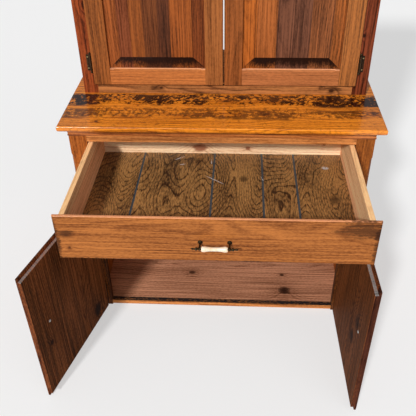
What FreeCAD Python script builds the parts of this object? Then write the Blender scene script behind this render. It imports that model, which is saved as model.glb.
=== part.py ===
import FreeCAD, Part
import math
import os

from FreeCAD import Vector

# A two-part court cupboard in pine, in millimetres.
# The lower case holds one wide drawer over two lipped board doors and carries a moulded
# countertop. The shallower upper case, flush with it at the back, has two doors of frame and
# raised panel.
# X runs to the right of the front, Y to the back and Z up from the floor. Everything is drawn
# about the lower case's centre line and front face, and moved as one at the end, so that the
# origin lies on the floor under the middle of the whole.
# It stands as first seen: drawer pulled out, lower doors open, upper doors shut.

# Cuts and fits
overcut = 4.0
joint_gap = 0.2
shut_gap = 0.5
glide_gap = 0.3
door_clearance = 2.0
full_turn = 360.0

# Lower case
lower_width = 915.0
lower_depth = 530.0
lower_height = 746.0
side_thickness = 18.0
frame_thickness = 20.0
lower_stile_width = 54.0
bottom_rail_low = 5.0
bottom_rail_high = 21.0
door_opening_top = 508.0
drawer_opening_low = 568.0
drawer_opening_top = 702.0

# Stopped chamfers on the outer front corners of the lower case
corner_chamfer = 6.0
corner_runout = 18.0
corner_chamfer_low = 90.0
corner_chamfer_high = 664.0

# Back boards of the lower case
back_thickness = 9.0
back_board_count = 7
back_board_gap = 0.4
back_board_bevel = 2.5

# Runners under the drawer and guides beside it
runner_height = 20.0
guide_height = 22.0
guide_gap = 1.5

# Countertop, and the cove moulding under it
counter_thickness = 19.0
counter_overhang = 25.0
counter_nose = 3.0
counter_foot = 9.0
cove_height = 23.0
cove_depth = 10.0
cove_fillet = 3.0
cove_foot = 2.0

# Drawer
drawer_travel = 364.0
drawer_front_lap = 10.5
drawer_front_lower_lap = 5.0
drawer_front_upper_lap = 2.0
drawer_front_thickness = 18.0
drawer_front_ease = 3.0
drawer_front_inner_top = 690.0
drawer_side_clearance = 3.5
drawer_box_length = 502.5
drawer_side_thickness = 15.0
drawer_side_top = 699.0
drawer_side_ease = 2.0
drawer_back_thickness = 15.0
drawer_back_top = 688.0
drawer_housing = 5.0
drawer_floor_top = 590.0
drawer_floor_thickness = 6.0
groove_width = 4.0
groove_depth = 2.0
first_groove = -249.9
groove_steps = (0.0, 228.6, 152.4, 101.6)

# Bar pull on the drawer
pull_height = 628.0
pull_centres = 76.0
pull_reach = 27.0
post_foot_radius = 6.5
post_foot_thickness = 2.5
post_stem_radius = 2.6
post_head_radius = 4.2
post_head_length = 8.0
rod_radius = 1.8
finial_length = 20.0
finial_radius = 3.6
grip_radius = 7.6

# Lower doors
door_thickness = 19.0
lip_thickness = 7.5
lip_ease = 3.0
lower_door_hinge_lap = 14.0
lower_door_lower_lap = 13.0
lower_door_upper_lap = 7.5
lower_door_gap = 2.0
left_door_angle = 105.4
right_door_angle = 91.1
field_margin = 90.0
field_bevel = 32.0
field_sink = 5.0
field_quirk = 1.5

# Upper case
upper_width = 900.0
upper_shift = 5.0
upper_setback = 203.0
upper_height = 1045.0
upper_stile_width = 45.5
upper_bottom_rail_height = 40.0
upper_opening_height = 920.0
upper_floor_thickness = 18.0
upper_top_thickness = 20.0
upper_top_nose = 6.0
upper_top_foot = 2.5
shelf_thickness = 18.0
shelf_front_gap = 4.0
shelf_heights = (345.0, 655.0)
batten_size = 19.0
back_rail_height = 60.0

# Cornice under the top board
cornice_height = 62.0
cornice_depth = 38.0
cornice_margin = 7.0
cornice_step = 3.0
cornice_bead_radius = 4.0
cornice_fillet = 5.0
cornice_crown_fillet = 9.0

# Upper doors
upper_door_lap = 8.0
upper_door_gap = 4.0
door_member_width = 55.0
panel_groove_front = 8.5
panel_groove_width = 6.0
panel_groove_depth = 9.0
panel_play = 1.0
panel_bevel = 38.0
panel_quirk = 1.5
panel_field_inset = 1.5
rail_chamfer = 8.0
rail_chamfer_runout = 12.0
rail_chamfer_stop = 7.0

# Knobs, of ceramic on a brass rose, held by a bolt from inside the door
knob_radius = 12.5
knob_length = 18.0
rose_radius = 11.0
rose_thickness = 3.0
bolt_radius = 2.0
bolt_length_in_knob = 11.0
bolt_head_radius = 4.2
bolt_head_rise = 1.8
lower_knob_inset = 72.0
lower_knob_height = 284.0
upper_knob_inset = 28.0
upper_knob_height = 1262.0

# Barrel hinges
barrel_radius = 3.75
pin_radius = 1.5
pin_play = 0.08
barrel_length = 53.0
knuckle_length = 20.0
knuckle_gap = 0.4
pin_set_forward = 4.5
edge_to_pin = 4.3
leaf_thickness = 1.5
leaf_width = 13.0
leaf_gap = 0.6
leaf_reach = 9.0
hinge_from_door_end = 72.0

# Share of a circle's radius at the middle of a quarter arc
arc_share = math.sqrt(0.5)
# Share of its chord by which a hollow moulding sags
hollow_share = 0.2
# Share of a chamfer's run-out at which its end turns
runout_share = 0.5
# Shares of radius and length along the turned knob, and of half length along the pull's grip
knob_shares = ((0.5, 0.0), (0.5, 0.25), (1.0, 0.48), (1.0, 0.72), (0.55, 1.0))
grip_shares = ((1.0, -1.0), (0.72, -0.4), (0.72, 0.4), (1.0, 1.0))


def at(x, y, z):
    return Vector(x, y, z)


def block(x_span, y_span, z_span):
    corner = at(x_span[0], y_span[0], z_span[0])
    length = x_span[1] - x_span[0]
    width = y_span[1] - y_span[0]
    height = z_span[1] - z_span[0]
    return Part.makeBox(length, width, height, corner)


def face_through(steps, place):
    # Each step is a point for a straight edge, or a pair of points for an arc through the first.
    edges = []
    here = steps[0]
    for step in steps[1:] + [steps[0]]:
        if isinstance(step[0], tuple):
            middle, end = step
            edges.append(Part.Arc(place(*here), place(*middle), place(*end)).toShape())
        else:
            end = step
            edges.append(Part.makeLine(place(*here), place(*end)))
        here = end
    return Part.Face(Part.Wire(edges))


def along_x(steps, span):
    face = face_through(steps, lambda y, z: at(span[0], y, z))
    return face.extrude(at(span[1] - span[0], 0, 0))


def along_y(steps, span):
    face = face_through(steps, lambda x, z: at(x, span[0], z))
    return face.extrude(at(0, span[1] - span[0], 0))


def along_z(steps, span):
    face = face_through(steps, lambda x, y: at(x, y, span[0]))
    return face.extrude(at(0, 0, span[1] - span[0]))


def quarter(centre, radius, first, last):
    # The middle and end of a quarter arc about the centre, from one unit direction to the next.
    middle = (centre[0] + radius * arc_share * (first[0] + last[0]),
              centre[1] + radius * arc_share * (first[1] + last[1]))
    end = (centre[0] + radius * last[0], centre[1] + radius * last[1])
    return middle, end


def hollow(first, last):
    # The middle and end of an arc that sags to the left of its chord.
    run = last[0] - first[0]
    rise = last[1] - first[1]
    middle = ((first[0] + last[0]) / 2 - rise * hollow_share,
              (first[1] + last[1]) / 2 + run * hollow_share)
    return middle, last


def joined(shapes):
    return shapes[0].fuse(shapes[1:]).removeSplitter()


def mirrored(shape):
    return shape.mirror(at(0, 0, 0), at(1, 0, 0))


def pair(shape):
    return Part.makeCompound([shape, mirrored(shape)])


def turned(shares, radius, length, base, axis):
    # Revolves an outline of (share of radius, share of length along the axis) about the axis.
    side = at(1, 0, 0) if axis.z else at(0, 0, 1)
    spots = [base + side * radius * across + axis * length * along for across, along in shares]
    ends = [base + axis * length * along for along in (shares[0][1], shares[-1][1])]
    outline = Part.makePolygon(ends[:1] + spots + ends[1:] + ends[:1])
    return Part.Face(outline).revolve(base, axis, full_turn)


def bored(shape, radius, base, axis, length):
    return shape.cut(Part.makeCylinder(radius, length, base, axis))


def eased_board(x_span, y_span, z_span, radius):
    # A board whose four front arrises are rounded over, with mitred corners.
    left, right = x_span
    front, back = y_span
    low, high = z_span
    inner = front + radius
    plan = along_z([(left, back), (right, back), (right, inner),
                    quarter((right - radius, inner), radius, (1, 0), (0, -1)),
                    (left + radius, front),
                    quarter((left + radius, inner), radius, (0, -1), (-1, 0))], z_span)
    section = along_x([(back, low), (back, high), (inner, high),
                       quarter((inner, high - radius), radius, (0, 1), (-1, 0)),
                       (front, low + radius),
                       quarter((inner, low + radius), radius, (-1, 0), (0, -1))], x_span)
    return plan.common(section)


def nosed_slab(half, y_span, z_span, nose, foot):
    # A slab rounded above and eased below round its front and both ends, with mitred corners.
    front, back = y_span
    low, high = z_span
    section = along_x([(back, high), (back, low), (front + foot, low),
                       quarter((front + foot, low + foot), foot, (0, -1), (-1, 0)),
                       (front, high - nose),
                       quarter((front + nose, high - nose), nose, (-1, 0), (0, 1))],
                      (-half, half))
    width = along_y([(nose - half, high),
                     quarter((nose - half, high - nose), nose, (0, 1), (-1, 0)),
                     (-half, low + foot),
                     quarter((foot - half, low + foot), foot, (-1, 0), (0, -1)),
                     (half - foot, low),
                     quarter((half - foot, low + foot), foot, (0, -1), (1, 0)),
                     (half, high - nose),
                     quarter((half - nose, high - nose), nose, (1, 0), (0, 1))], y_span)
    return section.common(width)


def mitred_moulding(profile, half, front, back, reach, z_span):
    # A moulding whose profile is (distance out from the case, height): the length across the
    # front, and the pair of lengths that return along the sides, mitred at the corners.
    across = along_x([mapped(step, lambda out, z: (front - out, z)) for step in profile],
                     (-half - reach, half + reach))
    returned = along_y([mapped(step, lambda out, z: (-half - out, z)) for step in profile],
                       (front - reach, back))
    across_plan = along_z([(-half, front), (-half - reach, front - reach),
                           (half + reach, front - reach), (half, front)], z_span)
    return_plan = along_z([(-half, front), (-half, back), (-half - reach, back),
                           (-half - reach, front - reach)], z_span)
    return across.common(across_plan), pair(returned.common(return_plan))


def mapped(step, place):
    if isinstance(step[0], tuple):
        return tuple(place(*point) for point in step)
    return place(*step)


def chamfer_waste(start, along, inward, sideways, length, leg, runout):
    # The waste of a stopped chamfer on an arris, which sweeps out in an S at both ends.
    depth = leg * arc_share
    turn = runout * runout_share

    def spot(distance, inset):
        return start + along * distance + inward * inset

    first = Part.BezierCurve()
    first.setPoles([spot(0, 0), spot(turn, 0), spot(turn, depth), spot(runout, depth)])
    last = Part.BezierCurve()
    last.setPoles([spot(length - runout, depth), spot(length - turn, depth),
                   spot(length - turn, 0), spot(length, 0)])
    outer = [spot(length, 0), spot(length, -overcut), spot(0, -overcut), spot(0, 0)]
    edges = [first.toShape(), Part.makeLine(spot(runout, depth), spot(length - runout, depth)),
             last.toShape()]
    edges += [Part.makeLine(one, two) for one, two in zip(outer, outer[1:])]
    face = Part.Face(Part.Wire(edges))
    half = leg + overcut
    face.translate(sideways * -half)
    return face.extrude(sideways * (half + half))


# Places that several pieces share
lower_half = lower_width / 2
lower_opening_half = lower_half - lower_stile_width
lower_inside_half = lower_half - side_thickness
back_board_face = lower_depth - back_thickness
counter_top = lower_height + counter_thickness
drawer_box_half = lower_opening_half - drawer_side_clearance
drawer_low = drawer_opening_low + glide_gap
drawer_face = -shut_gap - lip_thickness
drawer_front_back = drawer_face + drawer_front_thickness
upper_half = upper_width / 2
upper_opening_half = upper_half - upper_stile_width
upper_inside_half = upper_half - side_thickness
upper_frame_back = upper_setback + frame_thickness
upper_opening_low = counter_top + upper_bottom_rail_height
upper_opening_high = upper_opening_low + upper_opening_height
upper_case_high = counter_top + upper_height


def lower_side():
    return block((-lower_half, -lower_inside_half), (frame_thickness, back_board_face),
                 (0, lower_height))


def lower_stile():
    stile = block((-lower_half, -lower_opening_half), (0, frame_thickness), (0, lower_height))
    waste = chamfer_waste(at(-lower_half, 0, corner_chamfer_low), at(0, 0, 1),
                          at(arc_share, arc_share, 0), at(arc_share, -arc_share, 0),
                          corner_chamfer_high - corner_chamfer_low, corner_chamfer,
                          corner_runout)
    return stile.cut(waste)


def lower_rail(z_span):
    return block((-lower_opening_half, lower_opening_half), (0, frame_thickness), z_span)


def lower_floor():
    return block((-lower_inside_half, lower_inside_half), (frame_thickness, back_board_face),
                 (bottom_rail_low, bottom_rail_high))


def back_boards():
    # Upright boards, butted with a bevel on each outer arris, so that the joints show as V lines.
    width = lower_width / back_board_count
    boards = []
    for number in range(back_board_count):
        left = -lower_half + number * width + back_board_gap / 2
        right = left + width - back_board_gap
        plan = [(left, back_board_face), (right, back_board_face),
                (right, lower_depth - back_board_bevel), (right - back_board_bevel, lower_depth),
                (left + back_board_bevel, lower_depth), (left, lower_depth - back_board_bevel)]
        boards.append(along_z(plan, (bottom_rail_low, lower_height)))
    return Part.makeCompound(boards)


def drawer_runners():
    inner = drawer_box_half - drawer_side_thickness
    return pair(block((-lower_inside_half, -inner), (frame_thickness, back_board_face),
                      (drawer_opening_low - runner_height, drawer_opening_low)))


def drawer_guides():
    return pair(block((-lower_inside_half, -drawer_box_half - guide_gap),
                      (frame_thickness, back_board_face),
                      (drawer_opening_low, drawer_opening_low + guide_height)))


def countertop():
    return nosed_slab(lower_half + counter_overhang, (-counter_overhang, lower_depth),
                      (lower_height, counter_top), counter_nose, counter_foot)


def countertop_coves():
    low = lower_height - cove_height
    hollow_start = (cove_foot, low + cove_fillet)
    hollow_end = (cove_depth - cove_foot, lower_height - cove_fillet)
    profile = [(0, low), (cove_foot, low), hollow_start, hollow(hollow_start, hollow_end),
               (cove_depth, lower_height - cove_fillet), (cove_depth, lower_height),
               (0, lower_height)]
    return mitred_moulding(profile, lower_half, 0, lower_depth, cove_depth,
                           (low, lower_height))


def drawer_side():
    left = -drawer_box_half
    right = left + drawer_side_thickness
    ease = drawer_side_ease
    section = [(left, drawer_low), (right, drawer_low), (right, drawer_side_top - ease),
               quarter((right - ease, drawer_side_top - ease), ease, (1, 0), (0, 1)),
               (left + ease, drawer_side_top),
               quarter((left + ease, drawer_side_top - ease), ease, (0, 1), (-1, 0))]
    return along_y(section, (drawer_front_back - drawer_housing, drawer_box_length))


def drawer_floor():
    # A panel grooved at random widths, let into the sides and front, running under the back.
    half = drawer_box_half - drawer_side_thickness + drawer_floor_thickness
    low = drawer_floor_top - drawer_floor_thickness
    steps = [(-half, drawer_floor_top), (-half, low), (half, low), (half, drawer_floor_top)]
    centre = first_groove + sum(groove_steps)
    for step in reversed(groove_steps):
        steps += [(centre + groove_width / 2, drawer_floor_top),
                  (centre, drawer_floor_top - groove_depth),
                  (centre - groove_width / 2, drawer_floor_top)]
        centre -= step
    return along_y(steps, (drawer_front_back - drawer_housing, drawer_box_length))


def drawer_back():
    half = drawer_box_half - drawer_side_thickness
    return block((-half, half), (drawer_box_length - drawer_back_thickness, drawer_box_length),
                 (drawer_floor_top, drawer_back_top))


def drawer_front():
    # The lip laps the frame, and the thicker middle, which takes the box, enters the opening.
    half = lower_opening_half + drawer_front_lap
    low = drawer_opening_low - drawer_front_lower_lap
    high = drawer_opening_top + drawer_front_upper_lap
    lip = eased_board((-half, half), (drawer_face, -shut_gap), (low, high), drawer_front_ease)
    inner = block((-drawer_box_half, drawer_box_half), (-shut_gap, drawer_front_back),
                  (drawer_low, drawer_front_inner_top))
    return joined([lip, inner]).cut([drawer_side(), mirrored(drawer_side()), drawer_floor()])


def place_on_pull(x):
    return at(x, drawer_face - pull_reach, pull_height)


def pull_post():
    # A stem on a round foot, with a short barrel on top that is bored for the rod.
    centre = place_on_pull(-pull_centres / 2)
    foot = centre + at(0, pull_reach, 0)
    start = centre - at(post_head_length / 2, 0, 0)
    shapes = [Part.makeCylinder(post_foot_radius, post_foot_thickness, foot, at(0, -1, 0)),
              Part.makeCylinder(post_stem_radius, pull_reach, foot, at(0, -1, 0)),
              Part.makeCylinder(post_head_radius, post_head_length, start, at(1, 0, 0))]
    return bored(joined(shapes), rod_radius, start, at(1, 0, 0), post_head_length)


def pull_rod():
    # The rod through both posts, with a pointed finial outside each post.
    half = (pull_centres + post_head_length) / 2 + joint_gap
    tip = Part.makeCone(finial_radius, 0, finial_length, place_on_pull(-half), at(-1, 0, 0))
    rod = Part.makeCylinder(rod_radius, 2 * half, place_on_pull(-half), at(1, 0, 0))
    return joined([rod, tip, mirrored(tip)])


def pull_grip():
    # A waisted ceramic grip on the rod, from post to post.
    half = (pull_centres - post_head_length) / 2 - joint_gap
    body = turned(grip_shares, grip_radius, half, place_on_pull(0), at(1, 0, 0))
    return bored(body, rod_radius, place_on_pull(-half), at(1, 0, 0), 2 * half)


class DoorPlace:
    # Where a left-hand door lies when shut: its lip and its inner part, about the opening.
    def __init__(self, opening_half, plane, opening_span, hinge_lap, lower_lap, upper_lap, gap):
        self.plane = plane
        self.face = plane - shut_gap - lip_thickness
        self.lip_back = plane - shut_gap
        self.inside = self.face + door_thickness
        self.hinge_edge = -opening_half - hinge_lap
        self.step = -opening_half + door_clearance
        self.meeting = -gap / 2
        self.low = opening_span[0] - lower_lap
        self.high = opening_span[1] + upper_lap
        self.inner_span = (opening_span[0] + door_clearance, opening_span[1] - door_clearance)
        self.pin = at(self.hinge_edge - edge_to_pin, plane - pin_set_forward, 0)
        self.hinge_heights = (self.low + hinge_from_door_end, self.high - hinge_from_door_end)

    def blank(self):
        lip = eased_board((self.hinge_edge, self.meeting), (self.face, self.lip_back),
                          (self.low, self.high), lip_ease)
        inner = block((self.step, self.meeting), (self.lip_back, self.inside), self.inner_span)
        return joined([lip, inner])

    def leaf_notches(self):
        # The shallow notches in the back of the lip that take the hinge leaves.
        bottom = self.plane - leaf_gap - leaf_thickness
        half = knuckle_length / 2
        return [block((self.hinge_edge - overcut, self.step), (bottom, self.lip_back),
                      (height - half, height + half)) for height in self.hinge_heights]


def lower_place():
    return DoorPlace(lower_opening_half, 0, (bottom_rail_high, door_opening_top),
                     lower_door_hinge_lap, lower_door_lower_lap, lower_door_upper_lap,
                     lower_door_gap)


def upper_place():
    return DoorPlace(upper_opening_half, upper_setback, (upper_opening_low, upper_opening_high),
                     upper_door_lap, upper_door_lap, upper_door_lap, upper_door_gap)


def raised_field(x_span, y_face, z_span, sink, bevel, quirk, back):
    # A field that falls through a small step and a bevel to its edges, with mitred corners.
    edge = y_face + sink
    step = y_face + quirk
    left, right = x_span
    low, high = z_span
    plan = along_z([(left, back), (right, back), (right, edge), (right - bevel, step),
                    (right - bevel, y_face), (left + bevel, y_face), (left + bevel, step),
                    (left, edge)], z_span)
    section = along_x([(back, low), (back, high), (edge, high), (step, high - bevel),
                       (y_face, high - bevel), (y_face, low + bevel), (step, low + bevel),
                       (edge, low)], x_span)
    return plan.common(section)


def lower_door():
    # One lipped board, flat inside, with a fielded panel worked in its outer face.
    place = lower_place()
    x_span = (place.hinge_edge + field_margin, place.meeting - field_margin)
    z_span = (place.low + field_margin, place.high - field_margin)
    bottom = place.face + field_sink
    waste = block(x_span, (place.face - overcut, bottom), z_span)
    field = raised_field(x_span, place.face, z_span, field_sink, field_bevel, field_quirk,
                         bottom + overcut)
    board = place.blank().cut(waste.cut(field)).cut(place.leaf_notches())
    return drilled_for_knob(board, place, lower_knob_inset, lower_knob_height)


def knob_foot(place, inset, height):
    return at(place.meeting - inset, place.face, height)


def drilled_for_knob(shape, place, inset, height):
    foot = knob_foot(place, inset, height)
    start = foot - at(0, overcut, 0)
    return bored(shape, bolt_radius + joint_gap, start, at(0, 1, 0), door_thickness + 2 * overcut)


def knob(foot):
    # The ceramic knob, turned, with a blind hole for its bolt.
    base = foot - at(0, rose_thickness, 0)
    head = turned(knob_shares, knob_radius, knob_length, base, at(0, -1, 0))
    return bored(head, bolt_radius, base, at(0, -1, 0), bolt_length_in_knob)


def knob_rose_and_bolt(foot):
    # The brass rose under the knob, and the bolt through the door with its head inside.
    rose = Part.makeCylinder(rose_radius, rose_thickness, foot, at(0, -1, 0))
    tip = foot - at(0, rose_thickness + bolt_length_in_knob, 0)
    length = rose_thickness + bolt_length_in_knob + door_thickness
    shank = Part.makeCylinder(bolt_radius, length, tip, at(0, 1, 0))
    inside = foot + at(0, door_thickness, 0)
    head = Part.makeCylinder(bolt_head_radius, bolt_head_rise, inside, at(0, 1, 0))
    return joined([rose, shank, head])


def lifted(pin, height):
    return at(pin.x, pin.y, height)


def case_leaf(place, height):
    # The leaf on the face frame, with the outer two knuckles and the pin driven through them.
    low = height - barrel_length / 2
    high = height + barrel_length / 2
    end_length = (barrel_length - knuckle_length) / 2 - knuckle_gap
    clear = place.pin.x - barrel_radius - knuckle_gap
    y_span = (place.plane - leaf_thickness, place.plane)
    shapes = [block((place.pin.x - leaf_width, clear), y_span, (low, high)),
              Part.makeCylinder(pin_radius, barrel_length, lifted(place.pin, low))]
    for start in (low, high - end_length):
        shapes += [block((clear, place.pin.x), y_span, (start, start + end_length)),
                   Part.makeCylinder(barrel_radius, end_length, lifted(place.pin, start))]
    return joined(shapes)


def door_leaf(place, height):
    # The leaf let into the back of the lip and bent along its step, with the middle knuckle.
    low = height - knuckle_length / 2
    back = place.plane - leaf_gap
    front = back - leaf_thickness
    end = place.lip_back + leaf_reach
    plan = [(place.pin.x, front), (place.step, front), (place.step, end),
            (place.step - leaf_thickness, end), (place.step - leaf_thickness, back),
            (place.pin.x, back)]
    start = lifted(place.pin, low)
    leaf = along_z(plan, (low, low + knuckle_length))
    tube = Part.makeCylinder(barrel_radius, knuckle_length, start)
    return bored(joined([leaf, tube]), pin_radius + pin_play, start, at(0, 0, 1),
                 knuckle_length)


def upper_side():
    return block((-upper_half, -upper_inside_half), (upper_frame_back, lower_depth),
                 (counter_top, upper_case_high))


def upper_stile():
    return block((-upper_half, -upper_opening_half), (upper_setback, upper_frame_back),
                 (counter_top, upper_case_high))


def upper_rail(z_span):
    return block((-upper_opening_half, upper_opening_half), (upper_setback, upper_frame_back),
                 z_span)


def upper_floor():
    return block((-upper_inside_half, upper_inside_half), (upper_frame_back, lower_depth),
                 (counter_top, counter_top + upper_floor_thickness))


def shelf(height):
    low = counter_top + height
    return block((-upper_inside_half, upper_inside_half),
                 (upper_frame_back + shelf_front_gap, lower_depth), (low, low + shelf_thickness))


def shelf_battens():
    battens = []
    for height in shelf_heights:
        high = counter_top + height
        batten = block((-upper_inside_half, batten_size - upper_inside_half),
                       (upper_frame_back + shelf_front_gap, lower_depth),
                       (high - batten_size, high))
        battens.append(pair(batten))
    return Part.makeCompound(battens)


def upper_back_rail():
    return block((-upper_inside_half, upper_inside_half),
                 (lower_depth - side_thickness, lower_depth),
                 (upper_case_high - back_rail_height, upper_case_high))


def upper_top():
    overhang = cornice_depth + cornice_margin
    return nosed_slab(upper_half + overhang, (upper_setback - overhang, lower_depth),
                      (upper_case_high, upper_case_high + upper_top_thickness),
                      upper_top_nose, upper_top_foot)


def cornices():
    # From the foot up: a bead, a step, a wide hollow and a crown fillet under the top board.
    low = upper_case_high - cornice_height
    bead_high = low + 2 * cornice_bead_radius
    hollow_start = (cornice_step, bead_high + cornice_fillet)
    hollow_end = (cornice_depth - cornice_step, upper_case_high - cornice_crown_fillet)
    bead = ((cornice_step + cornice_bead_radius, low + cornice_bead_radius),
            (cornice_step, bead_high))
    profile = [(0, low), (cornice_step, low), bead, hollow_start,
               hollow(hollow_start, hollow_end),
               (cornice_depth, hollow_end[1]), (cornice_depth, upper_case_high),
               (0, upper_case_high)]
    return mitred_moulding(profile, upper_half, upper_setback, lower_depth, cornice_depth,
                           (low, upper_case_high))


def member_spans(place):
    # The rail's ends, and the heights of the lower and the upper rail's inner edges.
    rail_ends = (place.hinge_edge + door_member_width, place.meeting - door_member_width)
    heights = (place.low + door_member_width, place.high - door_member_width)
    return rail_ends, heights


def panel_groove_walls(place):
    front = place.face + panel_groove_front
    return front, front + panel_groove_width


def panel_room(place):
    # The space of the groove round the frame's inner edges.
    (left, right), (low, high) = member_spans(place)
    return block((left - panel_groove_depth, right + panel_groove_depth),
                 panel_groove_walls(place), (low - panel_groove_depth, high + panel_groove_depth))


def upper_door_stiles():
    # Both stiles, grooved along their inner edges for the panel and the rails' tongues.
    place = upper_place()
    (left, right), (low, high) = member_spans(place)
    y_span = (place.face - overcut, place.inside + overcut)
    z_span = (place.low - overcut, place.high + overcut)
    groove = block((left - panel_groove_depth, right + panel_groove_depth),
                   panel_groove_walls(place), z_span)
    blank = place.blank().cut(groove).cut(place.leaf_notches())
    hinge_stile = blank.common(block((place.hinge_edge - overcut, left), y_span, z_span))
    meeting_stile = blank.common(block((right, place.meeting + overcut), y_span, z_span))
    meeting_stile = drilled_for_knob(meeting_stile, place, upper_knob_inset, upper_knob_height)
    return Part.makeCompound([hinge_stile, meeting_stile])


def rail_tongues(place, z_span):
    (left, right), _ = member_spans(place)
    reach = panel_groove_depth
    return block((left - reach, right + reach), panel_groove_walls(place), z_span)


def upper_door_rails():
    # Both rails, tongued into the stiles, with a stopped chamfer on each inner front arris.
    place = upper_place()
    (left, right), (low, high) = member_spans(place)
    y_span = (place.face - overcut, place.inside + overcut)
    rails = []
    for z_span, arris, lean in (((place.low - overcut, low), low, -1),
                                ((high, place.high + overcut), high, 1)):
        rail = place.blank().common(block((left, right), y_span, z_span))
        tongue_span = (max(z_span[0], place.inner_span[0]), min(z_span[1], place.inner_span[1]))
        rail = joined([rail, rail_tongues(place, tongue_span)]).cut(panel_room(place))
        waste = chamfer_waste(at(left + rail_chamfer_stop, place.face, arris), at(1, 0, 0),
                              at(0, arc_share, lean * arc_share),
                              at(0, arc_share, -lean * arc_share),
                              right - left - 2 * rail_chamfer_stop, rail_chamfer,
                              rail_chamfer_runout)
        rails.append(rail.cut(waste))
    return Part.makeCompound(rails)


def upper_door_panel():
    # A raised panel whose edges stand in the frame's groove with room to move.
    place = upper_place()
    (left, right), (low, high) = member_spans(place)
    front, back = panel_groove_walls(place)
    reach = panel_groove_depth - panel_play
    tongue = block((left - reach, right + reach), (front, back), (low - reach, high + reach))
    face = place.face + panel_field_inset
    body = raised_field((left, right), face, (low, high), front - face, panel_bevel, panel_quirk,
                        back)
    return joined([tongue, body])


def moved_door(shape, place, angle):
    swung = shape.copy()
    swung.rotate(place.pin, at(0, 0, 1), angle)
    return swung


def lower_door_nodes(side, angle):
    place = lower_place()
    foot = knob_foot(place, lower_knob_inset, lower_knob_height)
    leaves = Part.makeCompound([door_leaf(place, height) for height in place.hinge_heights])
    shapes = {"board": lower_door(), "knob": knob(foot), "knob_rose": knob_rose_and_bolt(foot),
              "hinge_leaves": leaves}
    return door_nodes("lower_door_" + side, shapes, place, side, angle)


def upper_door_nodes(side):
    place = upper_place()
    foot = knob_foot(place, upper_knob_inset, upper_knob_height)
    leaves = Part.makeCompound([door_leaf(place, height) for height in place.hinge_heights])
    shapes = {"stiles": upper_door_stiles(), "rails": upper_door_rails(),
              "panel": upper_door_panel(), "knob": knob(foot),
              "knob_rose": knob_rose_and_bolt(foot), "hinge_leaves": leaves}
    nodes = door_nodes("upper_door_" + side, shapes, place, side, 0)
    return shifted(nodes, at(upper_shift, 0, 0))


def door_nodes(stem, shapes, place, side, angle):
    nodes = {}
    for name, shape in shapes.items():
        swung = moved_door(shape, place, -angle)
        nodes[stem + "_" + name] = swung if side == "left" else mirrored(swung)
    return nodes


def shifted(nodes, way):
    for shape in nodes.values():
        shape.translate(way)
    return nodes


def lower_case_nodes():
    cove_front, cove_returns = countertop_coves()
    place = lower_place()
    leaves = [pair(case_leaf(place, height)) for height in place.hinge_heights]
    return {"lower_side_left": lower_side(),
            "lower_side_right": mirrored(lower_side()),
            "lower_stile_left": lower_stile(),
            "lower_stile_right": mirrored(lower_stile()),
            "lower_top_rail": lower_rail((drawer_opening_top, lower_height)),
            "lower_middle_rail": lower_rail((door_opening_top, drawer_opening_low)),
            "lower_bottom_rail": lower_rail((bottom_rail_low, bottom_rail_high)),
            "lower_floor": lower_floor(),
            "lower_back_boards": back_boards(),
            "drawer_runners": drawer_runners(),
            "drawer_guides": drawer_guides(),
            "countertop": countertop(),
            "countertop_cove_front": cove_front,
            "countertop_cove_returns": cove_returns,
            "lower_hinge_leaves": Part.makeCompound(leaves)}


def upper_case_nodes():
    cornice_front, cornice_returns = cornices()
    place = upper_place()
    leaves = [pair(case_leaf(place, height)) for height in place.hinge_heights]
    low_shelf, high_shelf = shelf_heights
    nodes = {"upper_side_left": upper_side(),
             "upper_side_right": mirrored(upper_side()),
             "upper_stile_left": upper_stile(),
             "upper_stile_right": mirrored(upper_stile()),
             "upper_bottom_rail": upper_rail((counter_top, upper_opening_low)),
             "upper_top_rail": upper_rail((upper_opening_high, upper_case_high)),
             "upper_floor": upper_floor(),
             "upper_shelf_low": shelf(low_shelf),
             "upper_shelf_high": shelf(high_shelf),
             "upper_shelf_battens": shelf_battens(),
             "upper_back_rail": upper_back_rail(),
             "upper_top": upper_top(),
             "cornice_front": cornice_front,
             "cornice_returns": cornice_returns,
             "upper_hinge_leaves": Part.makeCompound(leaves)}
    return shifted(nodes, at(upper_shift, 0, 0))


def drawer_nodes():
    grooved_side = drawer_side().cut(drawer_floor())
    nodes = {"drawer_front": drawer_front(),
             "drawer_side_left": grooved_side,
             "drawer_side_right": mirrored(grooved_side),
             "drawer_back": drawer_back(),
             "drawer_bottom": drawer_floor(),
             "drawer_pull_posts": pair(pull_post()),
             "drawer_pull_rod": pull_rod(),
             "drawer_pull_grip": pull_grip()}
    return shifted(nodes, at(0, -drawer_travel, 0))


nodes = {}
nodes.update(lower_case_nodes())
nodes.update(drawer_nodes())
nodes.update(lower_door_nodes("left", left_door_angle))
nodes.update(lower_door_nodes("right", right_door_angle))
nodes.update(upper_case_nodes())
nodes.update(upper_door_nodes("left"))
nodes.update(upper_door_nodes("right"))

# The whole is centred over the origin.
bounds = Part.makeCompound(list(nodes.values())).BoundBox
centring = at(-bounds.Center.x, -bounds.Center.y, 0)
shifted(nodes, centring)

os.makedirs("parts", exist_ok=True)
for name, shape in nodes.items():
    shape.exportStep("parts/" + name + ".step")
print("nodes", len(nodes), "moved by", centring.x, centring.y)
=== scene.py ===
import math
from functools import reduce

import bmesh
import bpy
from mathutils import Matrix, Vector


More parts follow.
